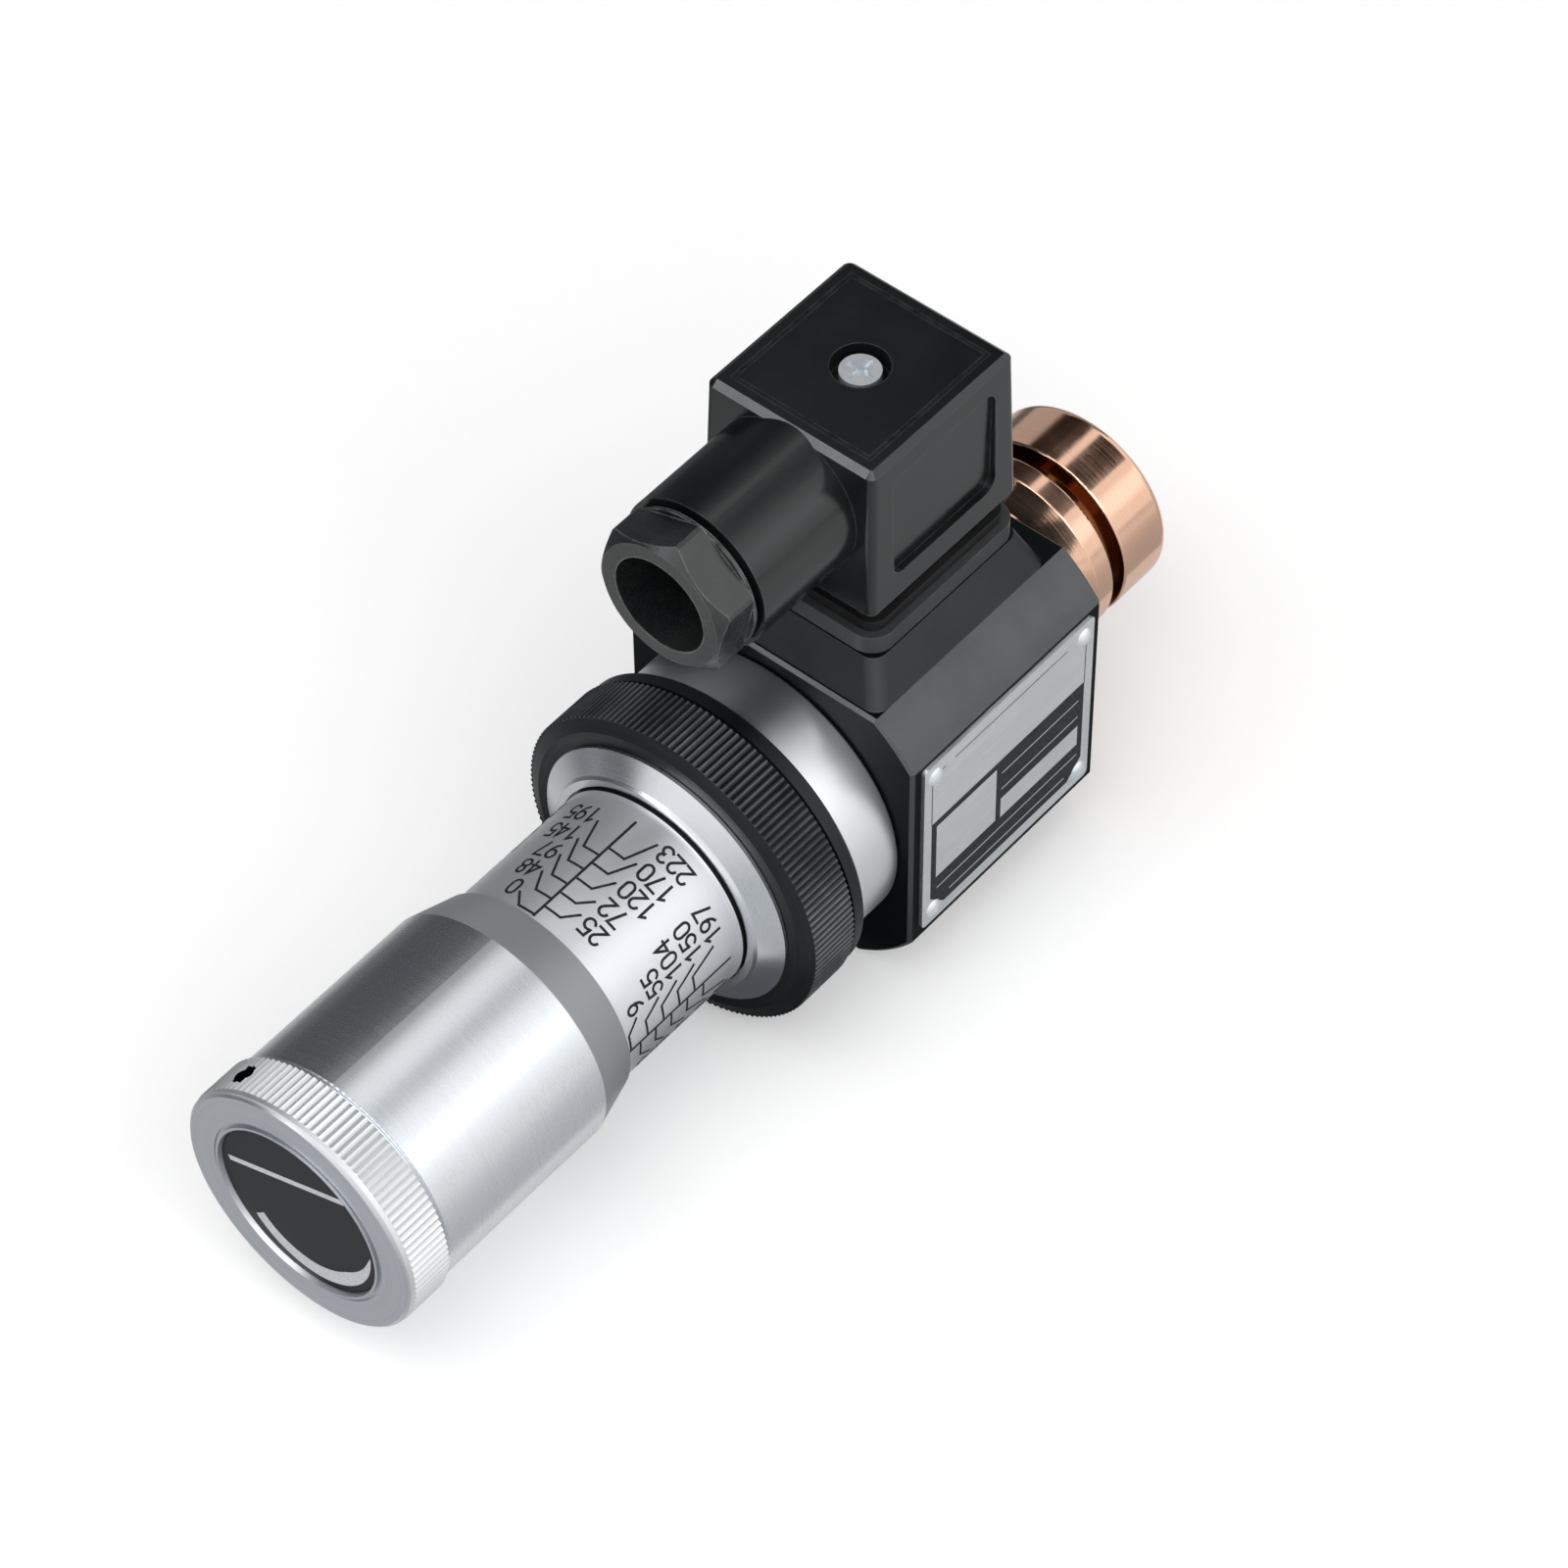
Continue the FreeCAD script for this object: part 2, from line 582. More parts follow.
def make_body_block():
    """Square bar with turned corners, bored for the collar, the lever, the microswitch and the fitting."""
    body = doc.addObject("PartDesign::Body", "block_bar")
    sketch = sketch_on(body, "block_section", "YZ_Plane")
    half, top, low = measured("block_width / 2"), measured("block_top"), measured("-block_bottom")
    turn_top, turn_low = measured("corner_radius_top"), measured("corner_radius_bottom")
    top_y, top_z = math.sqrt(turn_top ** 2 - top ** 2), math.sqrt(turn_top ** 2 - half ** 2)
    low_y, low_z = math.sqrt(turn_low ** 2 - low ** 2), -math.sqrt(turn_low ** 2 - half ** 2)
    ends = [(half, low_z), (half, top_z), (top_y, top), (-top_y, top),
            (-half, top_z), (-half, low_z), (-low_y, low), (low_y, low)]
    points = [FreeCAD.Vector(across, up, 0) for across, up in ends]
    for side in range(4):
        start, end = points[2 * side], points[2 * side + 1]
        following = points[(2 * side + 2) % 8]
        circle = Part.Circle(FreeCAD.Vector(), FreeCAD.Vector(0, 0, 1), end.Length)
        angles = [math.atan2(point.y, point.x) for point in (end, following)]
        if angles[1] < angles[0]:
            angles[1] += 2 * math.pi
        sketch.addGeometry(Part.LineSegment(start, end), False)
        sketch.addGeometry(Part.ArcOfCircle(circle, angles[0], angles[1]), False)
    for side in range(4):
        line, arc, next_line = 2 * side, 2 * side + 1, (2 * side + 2) % 8
        sketch.addConstraint(Sketcher.Constraint("Coincident", line, 2, arc, 1))
        sketch.addConstraint(Sketcher.Constraint("Coincident", arc, 2, next_line, 1))
        sketch.addConstraint(Sketcher.Constraint("Coincident", arc, 3, -1, 1))
        sketch.addConstraint(Sketcher.Constraint("Horizontal" if side % 2 else "Vertical", line))
    dimension(sketch, "DistanceX", 0, "block_width / 2", half)
    dimension(sketch, "DistanceY", 2, "block_top", top)
    dimension(sketch, "DistanceX", 4, "-block_width / 2", -half)
    dimension(sketch, "DistanceY", 6, "-block_bottom", low)
    for arc, text in ((1, "top"), (3, "top"), (5, "bottom"), (7, "bottom")):
        dimension(sketch, "Radius", arc, "corner_radius_" + text, turn_low if text == "bottom" else turn_top)
    pad = body.newObject("PartDesign::Pad", "block_pad")
    pad.Profile = sketch
    pad.setExpression("Length", bound("block_length"))

    def round_an_end(edge):
        return edge.BoundBox.XLength < 1e-4
    dressed(body, "Chamfer", "block_edges", "block_edge_break", round_an_end)
    tools = [
        cylinder("collar_seat", "collar_spigot_radius + fit_gap", "collar_spigot + 1", ("-1", "0", "0"), ALONG_X),
        cylinder("stem_guide", "stem_radius + running_gap", "slot_front", ("1", "0", "0"), ALONG_X),
        block("lever_slot", ("slot_length", "2 * slot_half", "slot_floor + chamber_floor + 1"),
              ("slot_front", "-slot_half", "-slot_floor")),
        block("switch_room", ("chamber_length", "2 * chamber_half", "block_top - chamber_floor + 1"),
              ("slot_front", "-chamber_half", "chamber_floor")),
        cylinder("stem_room", "stem_radius + clear_gap", "block_length - slot_front", ("slot_front", "0", "0"),
                 ALONG_X),
        cylinder("fitting_seat", "spigot_radius + fit_gap", "spigot_length + clear_gap + 1",
                 ("spigot_front - clear_gap", "0", "0"), ALONG_X),
        cylinder("pin_hole", "pin_radius", "block_width / 2 + pin_far_end + 1",
                 ("lever_pivot_place", "-block_width / 2 - 1", "lever_pivot_height"), ALONG_Y),
    ]
    for side in (-1, 1):
        tools.append(cylinder(
            "switch_tapping", "switch_screw_radius", "switch_screw_depth + 1",
            ("switch_screw_x", "%d * switch_screw_half" % side, "chamber_floor - switch_screw_depth")))
    for across, along in ((-1, -1), (-1, 1), (1, -1), (1, 1)):
        tools.append(cylinder(
            "riser_tapping", "flange_screw_radius", "flange_screw_depth + 1",
            ("connector_place + %d * flange_screw_offset" % along, "%d * flange_screw_offset" % across,
             "block_top - flange_screw_depth")))
        tools.append(cylinder(
            "rivet_hole", "rivet_radius", "rivet_depth + 1",
            ("plate_middle + %d * rivet_half_x" % along, "-block_width / 2 - 1",
             "plate_rise + %d * rivet_half_z" % across), ALONG_Y))
    subpart(without("body_block", body, tools), "body_block")


def make_collar():
    """Collar screwed into the block; its neck carries the lock ring and clamps the barrel."""
    inner = "barrel_radius + fit_gap"
    subpart(turned("collar", [
        ("neck_front", inner), ("neck_front", "neck_radius"), ("collar_front", "neck_radius"),
        ("collar_front", "collar_radius - edge_break"), ("collar_front + edge_break", "collar_radius"),
        ("-edge_break", "collar_radius"), ("0", "collar_radius - edge_break"), ("0", "collar_spigot_radius"),
        ("collar_spigot", "collar_spigot_radius"), ("collar_spigot", inner),
    ]), "collar")


def make_lock_ring():
    """Knurled ring that locks the drum setting."""
    bore = "neck_radius + running_gap"
    root = "ring_radius - knurl_depth - fit_gap"
    core = turned("lock_ring_core", [
        ("ring_front", bore), ("ring_front", "ring_face_radius"), ("ring_knurl_front", root),
        ("ring_knurl_rear", root), ("ring_knurl_rear", root + " - ring_groove_depth"),
        ("ring_knurl_rear + ring_groove", root + " - ring_groove_depth"),
        ("ring_knurl_rear + ring_groove", root), ("ring_rear - ring_rear_bevel", root),
        ("ring_rear", root + " - ring_rear_bevel"), ("ring_rear", bore),
    ])
    teeth = knurl_band("lock_ring_teeth", "ring_knurl_front", "ring_knurl_rear", "ring_radius", "ring_teeth")
    subpart(joined("lock_ring", [core, teeth]), "lock_ring")


def make_clamp_nose():
    """Bevelled nose screwed over the neck in front of the lock ring."""
    bore = "barrel_radius + drum_gap"
    socket = "neck_radius + fit_gap"
    subpart(turned("clamp_nose", [
        ("nose_front", bore), ("nose_front", "nose_face_radius - edge_break"),
        ("nose_front + edge_break", "nose_face_radius"), ("nose_rear - nose_lip", "nose_radius"),
        ("nose_rear", "nose_radius"), ("nose_rear", socket), ("neck_front - fit_gap", socket),
        ("neck_front - fit_gap", bore),
    ]), "clamp_nose")


def make_barrel():
    """Graduated barrel: the fixed tube that the drum rides on."""
    subpart(turned("graduated_barrel", [
        ("barrel_front", "barrel_bore"), ("barrel_front", "barrel_radius - edge_break"),
        ("barrel_front + edge_break", "barrel_radius"), ("collar_spigot", "barrel_radius"),
        ("collar_spigot", "barrel_bore"),
    ]), "graduated_barrel")
    outer = "barrel_bore - fit_gap"
    bore = "spindle_radius + running_gap"
    subpart(turned("barrel_bush", [
        ("barrel_front", bore + " + edge_break"), ("barrel_front", outer), ("bush_rear", outer),
        ("bush_rear", bore + " + edge_break"), ("bush_rear - edge_break", bore),
        ("barrel_front + edge_break", bore),
    ]), "barrel_bush")


def make_drum():
    """Adjusting drum: sleeve with reading rim, knurled cap, label disc, spindle and set screw."""
    subpart(turned("thimble", [
        ("drum_front", "drum_bore"), ("drum_front", "thimble_radius - edge_break"),
        ("drum_front + edge_break", "thimble_radius"), ("rim_place - thimble_cone", "thimble_radius"),
        ("rim_place", "thimble_rim_radius"), ("rim_place", "drum_bore"),
    ]), "thimble")
    root = "cap_radius - knurl_depth - fit_gap"
    band = "cap_radius - knurl_depth / 2"
    bead = "label_radius + fit_gap"
    core = turned("end_cap_core", [
        ("label_floor", "0"), ("label_floor", bead), ("cap_face - bead_height", bead + " + bead_height"),
        ("cap_face - bead_height", bead + " + bead_width"), ("cap_face + bead_height", bead + " + bead_width"),
        ("cap_face + bead_height", bead + " + bead_width + bead_groove"),
        ("cap_face", bead + " + bead_width + bead_groove"), ("cap_face", band + " - cap_bevel"),
        ("cap_face + cap_bevel", band), ("cap_knurl_front", band), ("cap_knurl_front", root),
        ("drum_front - edge_break", root),
        ("drum_front", root + " - edge_break"), ("drum_front", "drum_bore - fit_gap"),
        ("cap_inner", "drum_bore - fit_gap"), ("cap_inner", "spindle_radius + fit_gap"),
        ("spindle_front", "spindle_radius + fit_gap"), ("spindle_front", "0"),
    ])
    teeth = knurl_band("end_cap_teeth", "cap_knurl_front", "cap_knurl_rear", "cap_radius", "cap_teeth")
    angle = measured("set_screw_angle")
    outward = FreeCAD.Rotation(FreeCAD.Vector(1, 0, 0), angle - 90)
    screw_x = "cap_face + set_screw_place"
    drilling = cylinder("set_screw_hole", "set_screw_radius + fit_gap", "cap_radius + 1", (screw_x, "0", "0"), outward)
    subpart(without("end_cap", joined("end_cap_blank", [core, teeth]), [drilling]), "end_cap")
    subpart(cylinder("label_disc", "label_radius", "label_thickness", ("label_floor - label_thickness", "0", "0"),
                     ALONG_X), "label_disc")
    subpart(turned("adjusting_spindle", [
        ("spindle_front", "0"), ("spindle_front", "spindle_radius"), ("spindle_tip - 1", "spindle_radius"),
        ("spindle_tip", "spindle_radius - 1"), ("spindle_tip", "0"),
    ]), "adjusting_spindle")
    across, up = "cos(set_screw_angle * 1 deg)", "sin(set_screw_angle * 1 deg)"
    start = "(spindle_radius + fit_gap)"
    shank = cylinder("set_screw_shank", "set_screw_radius", "set_screw_length",
                     (screw_x, start + " * " + across, start + " * " + up), outward)
    socket = doc.addObject("Part::Prism", "set_screw_key")
    socket.Polygon = 6
    socket.setExpression("Circumradius", bound("set_screw_socket"))
    socket.setExpression("Height", bound("set_screw_length / 2"))
    key_start = "(spindle_radius + fit_gap + set_screw_length - 1.5 * set_screw_socket)"
    place(socket, (screw_x, key_start + " * " + across, key_start + " * " + up), outward)
    subpart(without("cap_set_screw", shank, [socket]), "cap_set_screw")


def make_spring_train():
    """Thrust ball, sliding spring seat, range spring and the push rod with its trip collar."""
    ball = doc.addObject("Part::Sphere", "thrust_ball")
    ball.setExpression("Radius", bound("ball_radius"))
    subpart(place(ball, ("ball_place", "0", "0")), "thrust_ball")
    seat = turned("spring_seat_blank", [
        ("seat_front", "0"), ("seat_front", "seat_boss_radius - edge_break"),
        ("seat_front + edge_break", "seat_boss_radius"), ("seat_flange_front", "seat_boss_radius"),
        ("seat_flange_front", "rider_radius"), ("seat_face", "rider_radius"), ("seat_face", "guide_radius"),
        ("seat_face + spring_guide - edge_break", "guide_radius"),
        ("seat_face + spring_guide", "guide_radius - edge_break"), ("seat_face + spring_guide", "0"),
    ])
    pocket = doc.addObject("Part::Sphere", "ball_pocket")
    pocket.setExpression("Radius", bound("ball_radius + fit_gap"))
    place(pocket, ("ball_place", "0", "0"))
    subpart(without("spring_seat", seat, [pocket]), "spring_seat")
    helix = doc.addObject("Part::Helix", "spring_line")
    length = "(plate_face - seat_face - 2 * wire_radius - 2 * side_gap)"
    helix.setExpression("Radius", bound("spring_mean_radius"))
    helix.setExpression("Height", bound(length))
    helix.setExpression("Pitch", bound(length + " / spring_coils"))
    place(helix, ("seat_face + wire_radius + side_gap", "0", "0"), ALONG_X)
    wire = doc.addObject("Part::Circle", "spring_wire")
    wire.setExpression("Radius", bound("wire_radius"))
    place(wire, ("seat_face + wire_radius + side_gap", "0", "-spring_mean_radius"), ALONG_Y)
    spring = doc.addObject("Part::Sweep", "range_spring")
    spring.Sections = [wire]
    spring.Spine = (helix, ["Edge1"])
    spring.Solid = True
    spring.Frenet = True
    subpart(spring, "range_spring")
    subpart(turned("push_rod", [
        ("plate_face - spring_guide", "0"), ("plate_face - spring_guide", "guide_radius - edge_break"),
        ("plate_face - spring_guide + edge_break", "guide_radius"), ("plate_face", "guide_radius"),
        ("plate_face", "rider_radius"), ("collar_spigot", "rider_radius"), ("collar_spigot", "stem_radius"),
        ("stem_end", "stem_radius"), ("stem_end", "0"),
    ]), "push_rod")
    subpart(turned("trip_collar", [
        ("trip_place", "stem_radius"), ("trip_place", "trip_radius"), ("trip_place + trip_length", "trip_radius"),
        ("trip_place + trip_length", "stem_radius"),
    ]), "trip_collar")


def make_hydraulic_end():
    """Port fitting with its seal, and the piston in its sleeve."""
    fitting = turned("port_fitting", [
        ("spigot_front", "sleeve_radius"), ("spigot_front", "spigot_radius - edge_break"),
        ("spigot_front + edge_break", "spigot_radius"), ("block_length + seal_width", "spigot_radius"),
        ("block_length + seal_width", "seal_radius + fit_gap"), ("block_length", "seal_radius + fit_gap"),
        ("block_length", "shoulder_radius"), ("shoulder_rear", "shoulder_radius"),
        ("shoulder_rear + shoulder_radius - waist_radius", "waist_radius"), ("waist_rear", "waist_radius"),
        ("land_front", "land_radius"), ("land_rear", "land_radius"), ("land_rear", "groove_radius"),
        ("hub_front", "groove_radius"), ("hub_front", "land_radius"), ("fitting_rear", "land_radius"),
        ("fitting_rear", "port_radius + port_bevel"), ("fitting_rear - port_bevel", "port_radius"),
        ("port_floor", "port_radius"), ("port_floor - (port_radius - channel_radius) / 2", "channel_radius"),
        ("sleeve_rear", "channel_radius"), ("sleeve_rear", "sleeve_radius"),
    ])
    dressed(fitting, "Fillet", "hub_rounding", "hub_round", circle_at("fitting_rear", "land_radius"))
    dressed(fitting, "Fillet", "hub_edge", "edge_break", circle_at("hub_front", "land_radius"))
    dressed(fitting, "Fillet", "land_edge", "edge_break", circle_at("land_rear", "land_radius"))
    dressed(fitting, "Fillet", "land_front_edge", "edge_break", circle_at("land_front", "land_radius"))
    subpart(fitting, "port_fitting")
    subpart(turned("fitting_seal", [
        ("block_length + fit_gap", "spigot_radius + fit_gap"), ("block_length + fit_gap", "seal_radius"),
        ("block_length + seal_width - fit_gap", "seal_radius"),
        ("block_length + seal_width - fit_gap", "spigot_radius + fit_gap"),
    ]), "fitting_seal")
    bore = "piston_radius + running_gap"
    seal_front = "sleeve_rear - piston_seal_length"
    subpart(turned("piston_sleeve", [
        ("sleeve_front", bore), ("sleeve_front", "sleeve_radius"), ("sleeve_rear", "sleeve_radius"),
        ("sleeve_rear", "piston_seal_radius + fit_gap"), (seal_front, "piston_seal_radius + fit_gap"),
        (seal_front, bore),
    ]), "piston_sleeve")
    subpart(turned("piston_seal", [
        (seal_front + " + fit_gap", bore), (seal_front + " + fit_gap", "piston_seal_radius"),
        ("sleeve_rear - fit_gap", "piston_seal_radius"), ("sleeve_rear - fit_gap", bore),
    ]), "piston_seal")
    subpart(turned("piston", [
        ("stem_end", "0"), ("stem_end", "piston_radius"), ("sleeve_rear - piston_short - edge_break", "piston_radius"),
        ("sleeve_rear - piston_short", "piston_radius - edge_break"), ("sleeve_rear - piston_short", "0"),
    ]), "piston")


def make_switch():
    """Microswitch in its chamber, with terminals, screws, button, lever and lever pin."""
    case = block("microswitch_case", ("switch_depth", "switch_width", "switch_height"),
                 ("switch_place", "-switch_width / 2", "chamber_floor"))
    tools = [cylinder("button_hole", "button_radius + running_gap",
                      "button_length - button_show + sense_travel + clear_gap + 1",
                      ("switch_place - 1", "0", "switch_middle"), ALONG_X)]
    screws = []
    for side in (-1, 1):
        screw_y = "%d * switch_screw_half" % side
        tools.append(cylinder("switch_screw_hole", "switch_screw_radius + fit_gap", "switch_height + 2",
                              ("switch_screw_x", screw_y, "chamber_floor - 1")))
        shank = cylinder("switch_screw_shank", "switch_screw_radius", "switch_height + switch_screw_depth",
                         ("switch_screw_x", screw_y, "chamber_floor - switch_screw_depth"))
        head = cylinder("switch_screw_head", "switch_head_radius", "switch_head_height",
                        ("switch_screw_x", screw_y, "switch_top"))
        slot = block("switch_screw_slot", ("switch_head_radius * 3", "switch_head_height / 3", "switch_head_height"),
                     ("switch_screw_x - switch_head_radius * 1.5", screw_y + " - switch_head_height / 6",
                      "switch_top + switch_head_height * 0.6"))
        screws.append(without("switch_screw", joined("switch_screw_blank", [shank, head]), [slot]))
    subpart(without("microswitch", case, tools), "microswitch")
    subpart(grouped("microswitch_screws", screws), "microswitch_screws")
    blades = [
        block("switch_blade", ("terminal_length", "terminal_width", "terminal_thickness"),
              ("switch_rear", "%d * terminal_half - terminal_width / 2" % side,
               "switch_middle - terminal_thickness / 2"))
        for side in (-1, 0, 1)
    ]
    subpart(grouped("switch_terminals", blades), "switch_terminals")
    subpart(cylinder("switch_button", "button_radius", "button_length", ("button_tip", "0", "switch_middle"),
                     ALONG_X), "switch_button")
    plate_front = "(trip_place - foot_gap - lever_foot_reach - lever_thickness)"
    pad_x = "button_tip - pad_gap - lever_pad_reach"
    fork = block("lever_fork", ("lever_thickness", "lever_width", "lever_pivot_height + 2 * lever_foot_reach"),
                 (plate_front, "-lever_width / 2", "-lever_foot_reach"))
    arm = block("lever_arm", ("lever_thickness", "lever_arm_width",
                              "switch_middle - lever_pivot_height + lever_pad_reach"),
                (plate_front, "-lever_arm_width / 2", "lever_pivot_height"))
    hub = cylinder("lever_hub", "lever_pivot_radius", "lever_width",
                   ("lever_pivot_place", "-lever_width / 2", "lever_pivot_height"), ALONG_Y)
    foot = cylinder("lever_foot", "lever_foot_reach", "lever_width",
                    ("trip_place - foot_gap - lever_foot_reach", "-lever_width / 2", "0"), ALONG_Y)
    pad = cylinder("lever_pad", "lever_pad_reach", "lever_arm_width",
                   (pad_x, "-lever_arm_width / 2", "switch_middle"), ALONG_Y)
    gap = block("lever_gap", ("10 * lever_thickness", "2 * (stem_radius + clear_gap)",
                              "lever_foot_reach + stem_radius + 2 * clear_gap + 1"),
                (plate_front + " - 4 * lever_thickness", "-stem_radius - clear_gap", "-lever_foot_reach - 1"))
    bore = cylinder("lever_bore", "pin_radius + running_gap", "lever_width + 2",
                    ("lever_pivot_place", "-lever_width / 2 - 1", "lever_pivot_height"), ALONG_Y)
    blank = joined("lever_blank", [fork, arm, hub, foot, pad])
    subpart(without("switch_lever", blank, [gap, bore]), "switch_lever")
    subpart(cylinder("lever_pin", "pin_radius", "block_width / 2 + pin_far_end - clear_gap",
                     ("lever_pivot_place", "-block_width / 2 + clear_gap", "lever_pivot_height"), ALONG_Y), "lever_pin")


def make_connector():
    """Riser, flange and contact blades on the block, and the screws that hold them."""
    at = ("connector_place", "0", "0")
    riser = tapered("riser_shell", ("riser_foot_half", "riser_foot_half"), ("riser_top_half", "riser_top_half"),
                    "block_top", "riser_top", at)
    dressed(riser, "Fillet", "riser_corners", "riser_corner", slants_up)
    passage = block("riser_passage", ("passage_half + passage_rear", "2 * passage_half", "riser_height + 2"),
                    ("connector_place - passage_half", "-passage_half", "block_top - 1"))
    flange = padded("flange_slab", rectangle("riser_top_half", "riser_top_half"), "flange_thickness",
                    start="riser_top", at=at)
    dressed(flange, "Fillet", "flange_corners", "flange_corner", slants_up)
    dressed(flange, "Chamfer", "flange_seam", "edge_break", lies_at_height("riser_top"))
    platform = block("flange_platform", ("2 * platform_half", "2 * platform_half", "platform_height + 1"),
                     ("connector_place - platform_half", "-platform_half", "flange_top - 1"))
    pillar = cylinder("flange_pillar", "pillar_radius", "pillar_height + 1",
                      ("connector_place", "0", "flange_top + platform_height - 1"))
    riser_tools, flange_tools, screws, blades = [passage], [], [], []
    flange_tools.append(cylinder("pillar_tapping", "screw_radius", "pillar_top - riser_top",
                                 ("connector_place", "0", "riser_top + 1")))
    for across, along in ((-1, -1), (-1, 1), (1, -1), (1, 1)):
        screw_x = "connector_place + %d * flange_screw_offset" % along
        screw_y = "%d * flange_screw_offset" % across
        through = "riser_height + flange_thickness + 2"
        start = (screw_x, screw_y, "block_top - 1")
        riser_tools.append(cylinder("riser_hole", "flange_screw_radius + fit_gap", through, start))
        flange_tools.append(cylinder("flange_hole", "flange_screw_radius + fit_gap", through, start))
        sink = doc.addObject("Part::Cone", "flange_sink")
        head = doc.addObject("Part::Cone", "flange_screw_head")
        depth = "(flange_head_radius - flange_screw_radius)"
        for cone, gap in ((sink, "fit_gap"), (head, "0")):
            cone.setExpression("Radius1", bound("flange_screw_radius + " + gap))
            cone.setExpression("Radius2", bound("flange_head_radius + " + gap))
            cone.setExpression("Height", bound(depth))
            place(cone, (screw_x, screw_y, "flange_top - " + depth))
        flange_tools.append(sink)
        flange_tools.append(cylinder("platform_notch", "flange_head_radius + fit_gap", "platform_height + 1",
                                     (screw_x, screw_y, "flange_top")))
        shank = cylinder("flange_screw_shank", "flange_screw_radius",
                         "flange_screw_depth + riser_height + flange_thickness - " + depth,
                         (screw_x, screw_y, "block_top - flange_screw_depth"))
        screws.append(joined("flange_screw", [shank, head]))
    for side_x, side_y in ((-1, 0), (1, 0), (0, -1), (0, 1)):
        size_x = "blade_thickness" if side_x else "blade_width"
        size_y = "blade_thickness" if side_y else "blade_width"
        corner = ("connector_place + %d * blade_offset - %s / 2" % (side_x, size_x),
                  "%d * blade_offset - %s / 2" % (side_y, size_y), "riser_top - blade_tail")
        size = (size_x, size_y, "blade_tail + flange_thickness + blade_height")
        blades.append(block("contact_blade", size, corner))
        flange_tools.append(block("blade_slot", size, corner))
    subpart(without("connector_riser", riser, riser_tools), "connector_riser")
    blank = joined("flange_blank", [flange, platform, pillar])
    subpart(without("connector_flange", blank, flange_tools), "connector_flange")
    subpart(grouped("flange_screws", screws), "flange_screws")
    subpart(grouped("contact_blades", blades), "contact_blades")


def make_lead_wires():
    """Three wires from the microswitch terminals up to the contact blades."""
    start_z = measured("switch_middle + terminal_thickness / 2 + fit_gap")
    end_z = measured("riser_top - blade_tail - fit_gap")
    pull = FreeCAD.Vector(0, 0, measured("wire_upright") * (end_z - start_z))
    centre, offset = measured("connector_place"), measured("blade_offset")
    foot_x = measured("switch_rear + terminal_length - wire_outer_radius - terminal_thickness")
    side = measured("terminal_half")
    ends = [((foot_x, -side), (centre, -offset)), ((foot_x, 0), (centre + offset, 0)),
            ((foot_x, side), (centre, offset))]
    wires = []
    for (from_x, from_y), (to_x, to_y) in ends:
        low = FreeCAD.Vector(from_x, from_y, start_z)
        high = FreeCAD.Vector(to_x, to_y, end_z)
        line = Part.BezierCurve()
        line.setPoles([low, low + pull, high - pull, high])
        profile = Part.Wire(Part.makeCircle(measured("wire_outer_radius"), low, FreeCAD.Vector(0, 0, 1)))
        wire = doc.addObject("Part::Feature", "lead_wire")
        wire.Shape = Part.Wire(line.toShape()).makePipeShell([profile], True, False)
        wires.append(wire)
    subpart(grouped("lead_wires", wires), "lead_wires")


